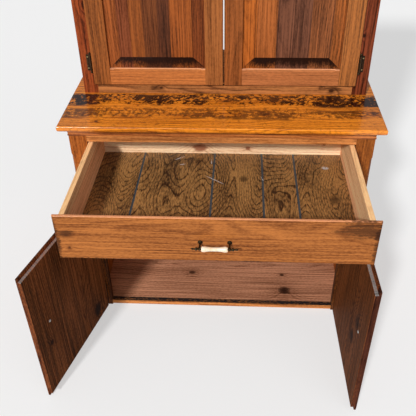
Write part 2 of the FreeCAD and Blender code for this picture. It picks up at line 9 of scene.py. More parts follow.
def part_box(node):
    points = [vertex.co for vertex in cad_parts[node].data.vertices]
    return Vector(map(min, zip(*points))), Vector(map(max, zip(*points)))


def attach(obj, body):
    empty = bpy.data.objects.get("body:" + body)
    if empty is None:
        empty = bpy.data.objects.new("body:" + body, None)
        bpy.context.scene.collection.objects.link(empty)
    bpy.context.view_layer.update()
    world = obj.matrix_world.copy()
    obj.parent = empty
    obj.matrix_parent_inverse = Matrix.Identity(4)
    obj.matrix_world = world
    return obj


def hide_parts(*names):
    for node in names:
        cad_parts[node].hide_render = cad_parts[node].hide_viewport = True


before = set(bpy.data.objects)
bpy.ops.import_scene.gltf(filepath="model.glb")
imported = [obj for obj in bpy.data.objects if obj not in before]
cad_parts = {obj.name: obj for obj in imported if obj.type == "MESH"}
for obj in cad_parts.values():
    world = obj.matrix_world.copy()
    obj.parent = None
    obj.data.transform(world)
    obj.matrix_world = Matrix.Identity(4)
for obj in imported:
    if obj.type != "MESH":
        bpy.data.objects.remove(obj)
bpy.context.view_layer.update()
scene = bpy.context.scene

# Lower case: two side boards, a face frame of stiles and rails, and a floor board, all of
# knotty pine under an amber stain and lacquer. The frame is glued up flush and nailed to the
# sides, and every arris is softened by hand.
GRAIN_X = Vector((1, 0, 0))
GRAIN_Y = Vector((0, 1, 0))
GRAIN_Z = Vector((0, 0, 1))
FRAME_EASE = 0.0005
MERGE_REACH = 2e-6
FLAT_TURN = math.radians(0.6)
ARRIS_TURN = math.radians(32)
PLANED_SHARP = math.radians(40)
STRIP_SHIFT = (3.1, 0.29)
KNOT_STRETCH = 1.3
WORN_EDGE = 0.0006
BURR_FADE = 0.02
ANYWHERE = (None, None)


def seen_as(red, green, blue):
    """A colour given as it looks on a screen, from 0 to 255."""
    light = [((value / 255 + 0.055) / 1.055) ** 2.4 for value in (red, green, blue)]
    return (*light, 1.0)


def grey(value):
    return (value, value, value, 1.0)


RING_STOPS = [(place, grey(value)) for place, value in
              ((0.0, 0.45), (0.14, 0.0), (0.6, 0.28), (0.88, 1.0), (1.0, 0.45))]


class Value:
    """A socket of a finish that takes part in sums: each operator adds its own node."""

    def __init__(self, finish, socket):
        self.finish = finish
        self.socket = socket

    def maths(self, operation, *values):
        return self.finish.add("ShaderNodeMath", {"operation": operation},
                               dict(enumerate(values)))

    def output(self, number):
        return Value(self.finish, self.socket.node.outputs[number])

    def __add__(self, other):
        return self.maths("ADD", self, other)

    def __sub__(self, other):
        return self.maths("SUBTRACT", self, other)

    def __rsub__(self, other):
        return self.maths("SUBTRACT", other, self)

    def __mul__(self, other):
        return self.maths("MULTIPLY", self, other)

    def __truediv__(self, other):
        return self.maths("DIVIDE", self, other)

    def __pow__(self, other):
        return self.maths("POWER", self, other)

    def __rpow__(self, other):
        return self.maths("POWER", other, self)

    def __abs__(self):
        return self.maths("ABSOLUTE", self)

    __radd__ = __add__
    __rmul__ = __mul__

    def fraction(self):
        return self.maths("FRACT", self)

    def above(self, other):
        return self.maths("MAXIMUM", self, other)

    def below(self, other):
        return self.maths("MINIMUM", self, other)

    def rise(self, start, end):
        """0 at start and 1 at end, smooth between them and level beyond."""
        ways = (start, end, 0.0, 1.0) if start < end else (end, start, 1.0, 0.0)
        return self.finish.add("ShaderNodeMapRange", {"interpolation_type": "SMOOTHSTEP"},
                               {0: self, 1: ways[0], 2: ways[1], 3: ways[2], 4: ways[3]})


class Finish:
    """A material in the making, with its Principled surface."""

    def __init__(self, name):
        self.material = bpy.data.materials.new(name)
        self.material.use_nodes = True
        self.tree = self.material.node_tree
        self.surface = self.tree.nodes["Principled BSDF"]

    def add(self, kind, settings, sockets, output=0):
        """One output of a new node of this kind, its settings and sockets filled in."""
        node = self.tree.nodes.new(kind)
        for key, value in settings.items():
            if key == "stops":
                self.set_stops(node.color_ramp.elements, value)
            elif key == "ramp":
                node.color_ramp.interpolation = value
            else:
                setattr(node, key, value)
        for key, value in sockets.items():
            self.feed(node.inputs[key], value)
        return Value(self, node.outputs[output])

    def set_stops(self, elements, stops):
        while len(elements) < len(stops):
            elements.new(1.0)
        for element, (place, colour) in zip(elements, stops):
            element.position = place
            element.color = colour

    def feed(self, socket, value):
        if isinstance(value, Value):
            self.tree.links.new(value.socket, socket)
        else:
            socket.default_value = value

    def places(self):
        """Object places."""
        return self.add("ShaderNodeTexCoord", {}, {}, output=3)

    def on_board(self, centre, grain, face):
        """Object places counted from a board's middle, along, across and through it."""
        turn = Matrix((grain, face.cross(grain), face)).transposed().to_euler()
        local = self.add("ShaderNodeMapping", {"vector_type": "TEXTURE"},
                         {"Vector": self.places(), "Location": centre, "Rotation": turn})
        along = self.add("ShaderNodeSeparateXYZ", {}, {0: local})
        return along, along.output(1), along.output(2)

    def joined(self, *parts):
        return self.add("ShaderNodeCombineXYZ", {}, dict(enumerate(parts)))

    def vector(self, operation, *values):
        return self.add("ShaderNodeVectorMath", {"operation": operation},
                        dict(enumerate(values)))

    def noise(self, vector, stretch, detail=2.0, roughness=0.5):
        return self.add("ShaderNodeTexNoise", {"normalize": True},
                        {"Vector": self.vector("MULTIPLY", vector, stretch), "Scale": 1.0,
                         "Detail": detail, "Roughness": roughness})

    def ramp(self, value, stops, kind="LINEAR"):
        return self.add("ShaderNodeValToRGB", {"ramp": kind, "stops": list(stops)}, {0: value})

    def blend(self, factor, first, second):
        return self.add("ShaderNodeMix", {"data_type": "RGBA"},
                        {0: factor, 6: first, 7: second}, output=2)

    def bump(self, height, strength, distance):
        return self.add("ShaderNodeBump", {}, {"Strength": strength, "Distance": distance,
                                               "Height": height})

    def done(self, **sockets):
        for name, value in sockets.items():
            self.feed(self.surface.inputs[name.replace("_", " ")], value)
        return self.material


class Tone:
    """How a board is stained and polished."""

    def __init__(self, light, deep, dark, rough=0.42, coat=0.03, sheen=0.06):
        self.light = seen_as(*light)
        self.deep = seen_as(*deep)
        self.dark = seen_as(*dark)
        self.rough = rough
        self.coat = coat
        self.sheen = sheen


def patch(colour, strength, along=ANYWHERE, across=ANYWHERE, through=ANYWHERE):
    """A stained or worn place, between a low and a high limit each way through a board."""
    return (along, across, through), seen_as(*colour), strength


def oval(along, across, spot, half_length, half_width):
    """0 in the middle of an oval on a board, 1 at its edge and more beyond."""
    run = (along - spot[0]) / half_length
    reach = (across - spot[1]) / half_width
    return run * run + reach * reach


def pine(node, grain, face, tone, pith=(0.02, -0.07), slope=0.02, ring=0.0075, knots=(),
         strips=(), burr=(), patches=(), smudges=(), bevel=None, contrast=0.9, figure=1.0,
         seed=0.0):
    """Sawn pine. Rings lie round a pith that wanders and tilts out of the board. Knots are
    (along, across, radius), glued strips (edge, light, deep, shift), burr streaks (lowest,
    highest across, strength) and smudges (along, across, half length, half width). A bevel
    (half length, half width of its field) shows darker end grain, and a painted shade line
    along the field's edge."""
    finish = Finish(node)
    along, across, through = finish.on_board(middle(node), grain, face)
    light, deep = tone.light, tone.deep
    along_here, across_here = along, across
    if strips:
        edges, lights, deeps, shifts = zip(*strips[:-1])
        width = strips[-1] - edges[0]
        share = (across - edges[0]) / width
        places = [(edge - edges[0]) / width for edge in edges]
        shift, light, deep = (
            finish.ramp(share, zip(places, colours), "CONSTANT")
            for colours in (map(grey, shifts), [seen_as(*colour) for colour in lights],
                            [seen_as(*colour) for colour in deeps]))
        along_here = along + shift * STRIP_SHIFT[0]
        across_here = across + shift * STRIP_SHIFT[1]
    placed = finish.joined(along_here + seed, across_here + seed * 0.7, through)
    wander = finish.noise(placed, (1.7, 5.5, 5.5)) - 0.5
    ripple = finish.noise(placed, (12.0, 46.0, 46.0), 3.0) - 0.5
    side = across_here + pith[0] + wander * 0.09 + ripple * 0.01
    depth = through + pith[1] + along_here * slope + wander * 0.06
    radius = (side * side + depth * depth) ** 0.5
    hearts = []
    swells = []
    for *spot, size in knots:
        far = (oval(along, across, spot, size * KNOT_STRETCH, size) + ripple * 3.0) ** 0.5
        swells.append(math.e ** (far * far * -0.2))
        radius = radius + swells[-1] * (size * 1.6)
        hearts.append(far.rise(1.0, 0.72) * 0.7 + far.rise(0.6, 0.4) * 0.3)
    late = finish.ramp((radius / ring + ripple * 0.7).fraction(), RING_STOPS)
    streak = finish.noise(placed, (2.4, 140.0, 140.0))
    broad = finish.noise(placed, (3.2, 17.0, 17.0), 3.0, 0.6)
    fine = finish.noise(placed, (4.5, 330.0, 330.0))
    speck = finish.noise(placed, (100.0, 240.0, 240.0), 2.0, 0.6)
    fibre = finish.noise(placed, (45.0, 1500.0, 1500.0), 2.0, 0.6)
    stain = (late * contrast
             + ((streak - 0.5) * 2.2 + (broad - 0.5) * 1.6 + (fine - 0.5) * 3.0) * figure
             + (speck - 0.5) * 1.7 + (0.33 - contrast * 0.45))
    if knots:
        stain = stain + reduce(Value.above, swells) * 0.45
    colour = finish.blend(stain.rise(-0.35, 1.15), light, deep)
    for limits, stained, strength in patches:
        rooms = []
        for axis, (low, high) in zip((along, across, through), limits):
            rooms += [] if low is None else [axis - low]
            rooms += [] if high is None else [high - axis]
        worn = (reduce(Value.below, rooms) + (speck - 0.5) * WORN_EDGE).rise(0.0, WORN_EDGE)
        colour = finish.blend(worn * ((streak + speck - 1.0) * 0.9 + strength), colour, stained)
    shade = (fibre - 0.5) * 0.3 + (speck - 0.5) * 0.4 + (1.1 - stain * 0.3)
    colour = finish.vector("MULTIPLY", colour, finish.joined(shade, shade, shade))
    masks = [stain.rise(0.75, 1.6) * 0.6]
    if burr:
        mottle = finish.noise(placed, (85.0, 75.0, 75.0), 4.0, 0.7)
        wave = finish.noise(placed, (9.0, 12.0, 12.0)) - 0.5
        inner = across + wave * 0.05
        blotch = (mottle + wave * 0.6).rise(0.38, 0.57)
        for low, high, strength in burr:
            band = inner.rise(low, low + BURR_FADE) * inner.rise(high, high - BURR_FADE)
            masks.append(blotch * band * strength)
        masks.append(mottle.rise(0.56, 0.68) * 0.45)
    if knots:
        masks.append(reduce(Value.above, hearts) * 0.85)
    for *spot, half_length, half_width in smudges:
        far = (oval(along, across, spot, half_length, half_width)
               + (streak + broad + speck - 1.5) * 3.0)
        masks.append(far.rise(1.2, 0.0) * 0.75)
    if bevel:
        fall = abs(along) - bevel[0]
        fall_aside = abs(across) - bevel[1]
        end_side = (fall - fall_aside).rise(-0.0008, 0.0008) * fall.rise(0.0, 0.001)
        burnt = (broad + speck - 1.0) * 1.1 + fall.rise(0.045, 0.002) * 0.85 + 0.22
        masks.append(end_side * burnt.rise(0.0, 1.0))
        # Painted shade: a dark line along the field's edge, at its step.
        field_edge_shade = fall.above(fall_aside)
        masks.append(field_edge_shade.rise(-0.0012, 0.0) * field_edge_shade.rise(0.0022, 0.001) * 0.6)
    for mask in masks:
        colour = finish.blend(mask, colour, tone.dark)
    height = fibre * 0.4 - late * 0.3 + fine * 0.5
    return finish.done(
        Base_Color=colour, Normal=finish.bump(height, 0.3, 0.0006),
        Roughness=(fibre - 0.5) * 0.12 + (broad - 0.5) * 0.2 + tone.rough,
        Coat_Weight=tone.coat, Coat_Roughness=0.12, Specular_IOR_Level=tone.sheen)


def middle(node):
    low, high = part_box(node)
    return (Vector(low) + Vector(high)) / 2


def held(name, data):
    """A new object in the scene for a mesh, a lamp or a lens."""
    holder = bpy.data.objects.new(name, data)
    scene.collection.objects.link(holder)
    return holder


def smoothed(shape, name, sharp):
    """The shape as a mesh, smooth except where its faces turn by more than sharp."""
    mesh = bpy.data.meshes.new(name)
    shape.to_mesh(mesh)
    shape.free()
    mesh.shade_smooth()
    mesh.set_sharp_from_angle(angle=sharp)
    return mesh


def settled(holder):
    """The plain mesh that an object's modifiers make of it."""
    seen = holder.evaluated_get(bpy.context.evaluated_depsgraph_get())
    mesh = bpy.data.meshes.new_from_object(seen)
    bpy.data.objects.remove(holder)
    return mesh


def set_out(mesh, name, body, slot, finish, *nodes):
    """The mesh as a piece that rides its body and stands for the nodes, where it has any."""
    mesh.materials.clear()
    mesh.materials.append(finish)
    piece = held(name, mesh)
    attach(piece, body)
    if nodes:
        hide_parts(*nodes)


def planed(node, body, slot, finish, ease):
    """A board or leaf cut from its solid, with the arrises eased."""
    shape = bmesh.new()
    shape.from_mesh(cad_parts[node].data)
    bmesh.ops.remove_doubles(shape, verts=shape.verts, dist=MERGE_REACH)
    bmesh.ops.dissolve_limit(shape, angle_limit=FLAT_TURN, verts=shape.verts,
                             edges=shape.edges)
    arrises = [edge for edge in shape.edges
               if edge.is_convex and edge.calc_face_angle(0.0) > ARRIS_TURN]
    bmesh.ops.bevel(shape, geom=arrises, offset=ease, offset_type="OFFSET", segments=2,
                    profile=0.5, affect="EDGES", clamp_overlap=True)
    holder = held(node, smoothed(shape, node + "_planed", PLANED_SHARP))
    shading = holder.modifiers.new("flat_faces_stay_flat", "WEIGHTED_NORMAL")
    shading.keep_sharp = True
    shading.weight = 50
    set_out(settled(holder), node + "_planed", body, slot, finish, node)


def sawn(node, body, slot, grain, face, tone, ease=FRAME_EASE, **look):
    planed(node, body, slot, pine(node, grain, face, tone, **look), ease)


amber = Tone((172, 96, 38), (120, 60, 22), (40, 18, 8))
LOWER_AMBERS = {"left": amber, "right": Tone((148, 84, 33), (104, 52, 19), (38, 17, 8))}
rail_amber = Tone((208, 134, 74), (154, 89, 43), (58, 28, 12))
inside_pine = Tone((204, 144, 110), (150, 96, 68), (46, 24, 16), rough=0.55, coat=0.0)
# Painted shade: dark bands on each lower stile's inner edge, up from its foot.
STILE_SHADE_BANDS = ((0.0265, 0.04, (44, 22, 12), 0.85), (0.007, 0.044, (52, 28, 16), 0.8))
SHADE_BANDS_TOP = 0.13
# Painted shade: a dark grey strip along the top of the lower bottom rail.
RAIL_SHADE_PAINT = {"top": (), "middle": (),
                "bottom": [patch((40, 36, 36), 1.0, across=(None, -0.0075),
                                 through=(-0.0085, None))]}

for side, hand, seed in (("left", 1, 1.3), ("right", -1, 2.9)):
    sawn("lower_side_" + side, "case", "pine", GRAIN_Z, GRAIN_X, amber, slope=0.03, seed=seed,
         knots=((0.12, 0.09, 0.012), (-0.2, -0.13, 0.009)))
    sawn("lower_stile_" + side, "case", "pine", GRAIN_Z, GRAIN_Y, LOWER_AMBERS[side],
         slope=0.01, seed=seed + 4.0, contrast=0.5, figure=0.55,
         # painted shade bands along the stile's inner edge
         patches=[patch(colour, strength, along=(None, SHADE_BANDS_TOP),
                        across=sorted((hand * near, hand * far)))
                  for near, far, colour, strength in STILE_SHADE_BANDS])
for name, seed in (("top", 0.4), ("middle", 5.2), ("bottom", 7.7)):
    sawn("lower_" + name + "_rail", "case", "pine", GRAIN_X, GRAIN_Y, rail_amber, slope=0.015,
         seed=seed, contrast=0.5, figure=0.6, patches=RAIL_SHADE_PAINT[name])
sawn("lower_floor", "case", "plain_pine", GRAIN_X, GRAIN_Z, inside_pine, seed=0.9,
     contrast=0.5, figure=0.7, pith=(0.05, -0.05), smudges=((0.237, -0.197, 0.009, 0.018),),
     knots=((-0.118, -0.112, 0.011), (0.237, -0.197, 0.019), (0.232, -0.113, 0.007),
            (-0.31, 0.05, 0.008), (0.05, 0.12, 0.01)))

# Back of the lower case: seven upright pine boards, left without stain, butted with bevelled
# edges, and held by wire nails into the floor board and the countertop's edge.
BACK_BOARDS = 7
STRIPS_END = 0.46
NAIL_SHARES = (0.22, 0.78)
NAIL_HEIGHTS = (0.013, 0.558, 0.725)
NAIL_RADIUS = 0.0021
NAIL_RISE = 0.0004
BED_SHARE = 0.35
back_pine = Tone((212, 166, 124), (178, 120, 80), (84, 50, 28), rough=0.62, coat=0.0)


def head_tree():
    """A tree that sets a slotted or plain round head on every point of its mesh, facing the
    way the point's own attribute says, and the identifiers of its inputs."""
    tree = bpy.data.node_groups.new("driven_heads", "GeometryNodeTree")
    socket = tree.interface.new_socket
    socket("Geometry", in_out="INPUT", socket_type="NodeSocketGeometry")
    keys = [socket(name, in_out="INPUT", socket_type="NodeSocket" + kind).identifier
            for name, kind in (("Head radius", "Float"), ("Head rise", "Float"),
                               ("Slot width", "Float"), ("Finish", "Material"))]
    socket("Geometry", in_out="OUTPUT", socket_type="NodeSocketGeometry")
    nodes, links = tree.nodes, tree.links

    def add(kind, settings, sockets):
        node = nodes.new(kind)
        for key, value in settings.items():
            setattr(node, key, value)
        for key, value in sockets.items():
            for part in value if isinstance(value, list) else [value]:
                if isinstance(part, bpy.types.NodeSocket):
                    links.new(part, node.inputs[key])
                else:
                    node.inputs[key].default_value = part
        return node.outputs[0]

    def maths(operation, *values):
        return add("ShaderNodeMath", {"operation": operation}, dict(enumerate(values)))

    def raised(curve, height):
        face = add("GeometryNodeFillCurve", {}, {0: curve})
        return add("GeometryNodeExtrudeMesh", {"mode": "FACES"},
                   {"Mesh": face, "Offset Scale": height, "Individual": False})

    given = nodes.new("NodeGroupInput").outputs
    radius, rise = given["Head radius"], given["Head rise"]
    start = maths("ARCSINE", maths("MULTIPLY", maths("DIVIDE", given["Slot width"], radius),
                                   0.5))
    arc = add("GeometryNodeCurveArc", {"mode": "RADIUS"},
              {"Resolution": 14, "Radius": radius, "Start Angle": start,
               "Sweep Angle": maths("MULTIPLY_ADD", start, -2.0, math.pi)})
    closed = add("GeometryNodeSetSplineCyclic", {}, {"Geometry": arc, "Cyclic": True})
    half = raised(closed, rise)
    other = add("GeometryNodeTransform", {}, {"Geometry": half,
                                              "Rotation": (0.0, 0.0, math.pi)})
    ring = add("GeometryNodeCurvePrimitiveCircle", {"mode": "RADIUS"},
               {"Resolution": 28, "Radius": radius})
    bed = raised(ring, maths("MULTIPLY", rise, BED_SHARE))
    head = add("GeometryNodeJoinGeometry", {}, {0: [half, other, bed]})
    facing, turn = (add("GeometryNodeInputNamedAttribute", {"data_type": kind}, {"Name": name})
                    for name, kind in (("facing", "FLOAT_VECTOR"), ("turn", "FLOAT")))
    aligned = add("FunctionNodeAlignRotationToVector", {"axis": "Z"}, {"Vector": facing})
    spin = add("FunctionNodeAxisAngleToRotation", {}, {"Axis": (0.0, 0.0, 1.0), "Angle": turn})
    spun = add("FunctionNodeRotateRotation", {"rotation_space": "LOCAL"},
               {0: aligned, 1: spin})
    placed = add("GeometryNodeInstanceOnPoints", {},
                 {"Points": given["Geometry"], "Instance": head, "Rotation": spun})
    real = add("GeometryNodeRealizeInstances", {}, {0: placed})
    dressed = add("GeometryNodeSetMaterial", {}, {"Geometry": real,
                                                  "Material": given["Finish"]})
    links.new(dressed, nodes.new("NodeGroupOutput").inputs[0])
    return tree, keys


def driven(name, body, slot, spots, radius, rise, slot_width, finish):
    """Nail or screw heads at spots, each (place, way it faces, turn of its slot)."""
    tree, keys = heads
    places, ways, turns = zip(*spots)
    points = bpy.data.meshes.new(name)
    points.from_pydata(places, [], [])
    facing = points.attributes.new("facing", "FLOAT_VECTOR", "POINT")
    facing.data.foreach_set("vector", [part for way in ways for part in way])
    turn = points.attributes.new("turn", "FLOAT", "POINT")
    turn.data.foreach_set("value", turns)
    holder = held(name, points)
    modifier = holder.modifiers.new("heads", "NODES")
    modifier.node_group = tree
    for key, value in zip(keys, (radius, rise, slot_width, finish)):
        modifier[key] = value
    mesh = settled(holder)
    for key in ("facing", "turn"):
        if key in mesh.attributes:
            mesh.attributes.remove(mesh.attributes[key])
    set_out(mesh, name, body, slot, finish)


def metal(name, bright, dull, dark, rough, pitting, shine=1.0):
    """Metal that has gone dull in patches and is rubbed bright where it stands proud."""
    finish = Finish(name)
    seen = finish.places()
    spots = finish.noise(seen, (110.0, 110.0, 110.0), 4.0, 0.6)
    grime = finish.noise(seen, (420.0, 420.0, 420.0), 3.0, 0.6)
    edge = finish.add("ShaderNodeNewGeometry", {}, {}, output=7)
    rubbed = (edge + (spots - 0.5) * 0.1).rise(0.5, 0.62)
    colour = finish.blend(spots.rise(0.3, 0.7), seen_as(*dull), seen_as(*dark))
    colour = finish.blend(rubbed * 0.7 + (grime - 0.5) * 0.25, colour, seen_as(*bright))
    return finish.done(Base_Color=colour, Metallic=spots * -0.3 + shine,
                       Roughness=(grime - 0.5) * 0.25 + (rough - rubbed * 0.15),
                       Normal=finish.bump(grime, 0.35, pitting))


heads = head_tree()
nail_steel = metal("nail_steel", (150, 148, 140), (96, 92, 86), (54, 48, 44), 0.5, 0.0002)
back_low, back_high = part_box("lower_back_boards")
back_width = back_high[0] - back_low[0]
sawn("lower_back_boards", "case", "plain_pine", GRAIN_Z, GRAIN_Y, back_pine, seed=3.1,
     strips=[((number / BACK_BOARDS - 0.5) * back_width, (206 - number % 3 * 9, 168, 124),
              (170, 122 - number % 2 * 8, 78), 0.11 + 0.13 * (number * 3 % BACK_BOARDS))
             for number in range(BACK_BOARDS)] + [STRIPS_END])
driven("back_nails", "case", "antique_brass",
       [((back_low[0] + back_width * (number + share) / BACK_BOARDS,
          back_high[1] - NAIL_RISE, height), (0.0, 1.0, 0.0), 0.0)
        for number in range(BACK_BOARDS) for share in NAIL_SHARES for height in NAIL_HEIGHTS],
       NAIL_RADIUS, NAIL_RISE, 0.0, nail_steel)

# Runners and guides: plain pine battens screwed along the inside of the case, one pair under
# the drawer's sides and one pair beside them.
batten_pine = Tone((196, 150, 104), (158, 108, 66), (80, 46, 26), rough=0.6, coat=0.0)
for node, seed in (("drawer_runners", 1.0), ("drawer_guides", 2.0)):
    sawn(node, "case", "plain_pine", GRAIN_Y, GRAIN_X, batten_pine, seed=seed)

# Countertop: a wide board with a burr streak along its rear, nosed on three edges and
# lacquered to a deep gloss. A hollow moulding is nailed under its overhang and mitred.
TOP_EASE = 0.0004
MOULDED_EASE = 0.0003
counter_amber = Tone((240, 144, 38), (176, 90, 20), (42, 14, 4), rough=0.25, coat=0.5,
                     sheen=0.3)
cove_amber = Tone((186, 110, 54), (136, 70, 32), (56, 26, 12), rough=0.34, coat=0.4)
sawn("countertop", "case", "pine", GRAIN_X, GRAIN_Z, counter_amber, TOP_EASE,
     pith=(0.2, -0.045), slope=0.012, ring=0.0085, contrast=0.6, figure=0.6, seed=0.6,
     burr=((-0.14, -0.045, 1.25), (-0.225, -0.14, 0.75)),
     smudges=((0.162, -0.09, 0.02, 0.02), (0.03, -0.09, 0.012, 0.018)),
     knots=((0.015, -0.1, 0.008), (0.167, -0.094, 0.013), (0.334, -0.088, 0.012),
            (0.463, -0.108, 0.008), (-0.478, -0.08, 0.009), (0.135, -0.185, 0.007),
            (-0.37, -0.24, 0.005), (0.458, -0.18, 0.007), (-0.26, -0.135, 0.004),
            (-0.2, 0.12, 0.014), (0.3, 0.17, 0.01)))
sawn("countertop_cove_front", "case", "pine", GRAIN_X, GRAIN_Y, cove_amber, MOULDED_EASE,
     seed=3.3)
sawn("countertop_cove_returns", "case", "pine", GRAIN_Y, GRAIN_X, cove_amber, MOULDED_EASE,
     seed=4.1)

# Drawer: a lipped and rounded front, stained like the case, on a box of bare pale pine. The
# sides are let into the front and nailed, and the back stands between them.
front_amber = Tone((174, 106, 52), (120, 64, 28), (40, 18, 9), rough=0.4, coat=0.06)
pale_side = Tone((236, 186, 130), (200, 144, 90), (124, 78, 44), rough=0.6, coat=0.0)
pale_back = Tone((255, 226, 184), (246, 196, 152), (150, 86, 58), rough=0.6, coat=0.0)
SIDE_STRIPE = {"left": 0.035, "right": -0.018}
SIDE_HALF = 0.0672
sawn("drawer_front", "drawer", "pine", GRAIN_X, GRAIN_Y, front_amber, MOULDED_EASE,
     pith=(0.03, -0.05), slope=0.006, seed=2.2, contrast=0.45, figure=0.55,
     smudges=((0.385, -0.045, 0.085, 0.03), (-0.385, -0.012, 0.025, 0.013),
              (0.414, 0.0, 0.012, 0.07), (-0.414, 0.0, 0.01, 0.07),
              (-0.2, 0.072, 0.4, 0.006), (0.25, 0.072, 0.3, 0.007)),
     # a paler band along the top of the front is a painted highlight
     patches=[patch((232, 158, 112), 0.8, across=(None, -0.0685))],
     knots=((-0.382, 0.033, 0.004),))
for side, seed in (("left", 0.3), ("right", 1.7)):
    sawn("drawer_side_" + side, "drawer", "pale_pine", GRAIN_Y, GRAIN_X, pale_side,
         pith=(0.015, -0.03), slope=0.03, seed=seed, contrast=0.5, figure=0.6,
         strips=[(-SIDE_HALF, (255, 198, 148), (236, 168, 120), 0.3),
                 (SIDE_STRIPE[side], (255, 214, 162), (240, 180, 128), 0.7), SIDE_HALF],
         patches=[patch((255, 204, 144), 0.7, across=(0.0638, None))])
sawn("drawer_back", "drawer", "pale_pine", GRAIN_X, GRAIN_Y, pale_back, pith=(0.0, -0.03),
     slope=0.01, seed=0.8, contrast=0.5, figure=0.6,
     knots=((-0.07, 0.025, 0.018), (0.086, 0.027, 0.006), (0.33, 0.01, 0.004)))

# Drawer bottom: a thin sheet of wall panelling, grooved at random widths and printed with
# figured boards, its grooves painted dark. It has been scuffed white in a few places.
THIN_EASE = 0.0002
PRINT_HALF = 0.4
PRINT_STEP = 0.17
PRINT_SHIFT = (5.0, 1.1, 9.0)
GROOVE_PAINT = (0.0036, 0.0022)
PAINT_RAGGED = 0.0015
FIGURE_STOPS = [(place, grey(value)) for place, value in
                ((0.0, 0.0), (0.68, 0.15), (0.88, 1.0), (1.0, 0.0))]
BOTTOM_GROOVES = (-0.2499, -0.0213, 0.1311, 0.2327)
BOTTOM_KNOTS = ((0.087, -0.074, 0.013), (-0.015, -0.339, 0.016), (0.02, -0.165, 0.008))
BOTTOM_SCUFFS = ((-0.134, 0.202, 0.0026, 0.022, -0.6), (-0.122, 0.165, 0.003, 0.012, -0.3),
                 (-0.015, 0.079, 0.0022, 0.042, 0.65), (-0.03, 0.18, 0.002, 0.02, 1.5),
                 (0.328, 0.155, 0.01, 0.014, 0.2), (0.13, 0.09, 0.002, 0.014, 1.2))


def printed_panelling(node):
    """Printed boards between painted grooves. Scuffs are (out, along, half width, half
    length, turn)."""
    finish = Finish(node)
    along, across, _ = finish.on_board(middle(node), GRAIN_Y, GRAIN_Z)
    edges = [-PRINT_HALF] + [-groove for groove in reversed(BOTTOM_GROOVES)]
    board = finish.ramp((across + PRINT_HALF) / (2 * PRINT_HALF),
                        [((edge + PRINT_HALF) / (2 * PRINT_HALF), grey(PRINT_STEP * number))
                         for number, edge in enumerate(edges)], "CONSTANT")
    shifted = [board * shift for shift in PRINT_SHIFT]
    placed = finish.joined(along + shifted[0], across + shifted[1], shifted[2])
    wander = finish.noise(placed, (2.9, 10.0, 1.0), 0.0)
    figure = finish.noise(placed, (12.0, 30.0, 1.0))
    line = finish.ramp((wander * 30.0 + figure * 1.4).fraction(), FIGURE_STOPS)
    pores = finish.noise(placed, (70.0, 280.0, 1.0), 2.0, 0.6)
    tone = finish.noise(placed, (4.0, 15.0, 1.0), 3.0)
    shade = line * 0.5 + (tone - 0.5) * 1.2 + (pores - 0.5) * 1.7 + 0.3
    colour = finish.blend(shade.rise(-0.1, 0.9), seen_as(178, 128, 73), seen_as(52, 29, 13))
    spots = []
    for *spot, size in BOTTOM_KNOTS:
        far = oval(along, across, spot, size * KNOT_STRETCH, size) + (figure - 0.5) * 1.5
        spots.append((far ** 0.5).rise(1.3, 0.5))
    colour = finish.blend(reduce(Value.above, spots) * 0.7, colour, seen_as(40, 21, 10))
    near = reduce(Value.below, [abs(across + groove) for groove in BOTTOM_GROOVES])
    stripe = (near + (pores - 0.5) * PAINT_RAGGED).rise(*GROOVE_PAINT)
    colour = finish.blend(stripe, colour, seen_as(58, 72, 80))
    marks = []
    for out, up, width, length, turn in BOTTOM_SCUFFS:
        from_x = across + out
        from_y = along - up
        run = (from_x * math.cos(turn) + from_y * math.sin(turn)) / length
        reach = (from_y * math.cos(turn) - from_x * math.sin(turn)) / width
        marks.append((run * run + reach * reach).rise(1.0, 0.2) * pores.rise(0.38, 0.5))
    colour = finish.blend(reduce(Value.above, marks) * 0.95, colour, seen_as(200, 194, 192))
    return finish.done(Base_Color=colour, Roughness=(tone - 0.5) * 0.2 + 0.42,
                       Normal=finish.bump(pores, 0.2, 0.0004))


planed("drawer_bottom", "drawer", "grooved_panelling", printed_panelling("drawer_bottom"),
       THIN_EASE)

# Bar pull: two turned brass posts carry a rod with a ball and a pointed finial at each end,
# and a waisted grip of cream glazed ceramic is threaded on the rod between them.
MM = 0.001
PULL_FOOT_RADIUS = 0.0065
PULL_REACH = 0.027
PULL_CENTRES = 0.076
ROD_RADIUS = 0.0018
ROD_HALF = 0.044
FINIAL_FROM_POST = 0.0086
POST_OUTLINE = ((1.0, 0.0), (1.0, 0.05), (0.86, 0.1), (0.55, 0.2), (0.42, 0.34), (0.36, 0.55),
                (0.42, 0.76), (0.6, 0.87), (0.64, 0.98), (0.58, 1.08), (0.34, 1.14),
                (0.0, 1.152))
FINIAL_OUTLINE = ((0.0, -4.4), (1.8, -4.2), (3.5, -2.6), (4.2, 0.0), (3.5, 2.6), (1.9, 4.0),
                  (1.5, 4.7), (2.2, 6.0), (2.9, 8.2), (2.5, 10.4), (1.2, 12.8), (0.5, 14.6),
                  (0.0, 15.0))
GRIP_OUTLINE = ((1.8, -33.6), (5.2, -33.6), (6.5, -32.6), (7.5, -29.4), (7.4, -25.6),
                (6.2, -18.0), (5.5, -9.0), (5.35, 0.0), (5.5, 9.0), (6.2, 18.0), (7.4, 25.6),
                (7.5, 29.4), (6.5, 32.6), (5.2, 33.6), (1.8, 33.6))
TURNED_SIDES = 48
OUTLINE_STEPS = 5
ON_AXIS = 1e-6
TURNED_SHARP = math.radians(50)


def smooth_line(points, steps):
    """A curve through the points, by the Catmull-Rom rule."""
    ends = [points[0], *points, points[-1]]
    line = []
    for before, start, end, after in zip(ends, ends[1:], ends[2:], ends[3:]):
        for step in range(steps):
            t = step / steps
            line.append(tuple(
                0.5 * (2 * b + (c - a) * t + (2 * a - 5 * b + 4 * c - d) * t * t
                       + (3 * b - a - 3 * c + d) * t ** 3)
                for a, b, c, d in zip(before, start, end, after)))
    return line + [points[-1]]


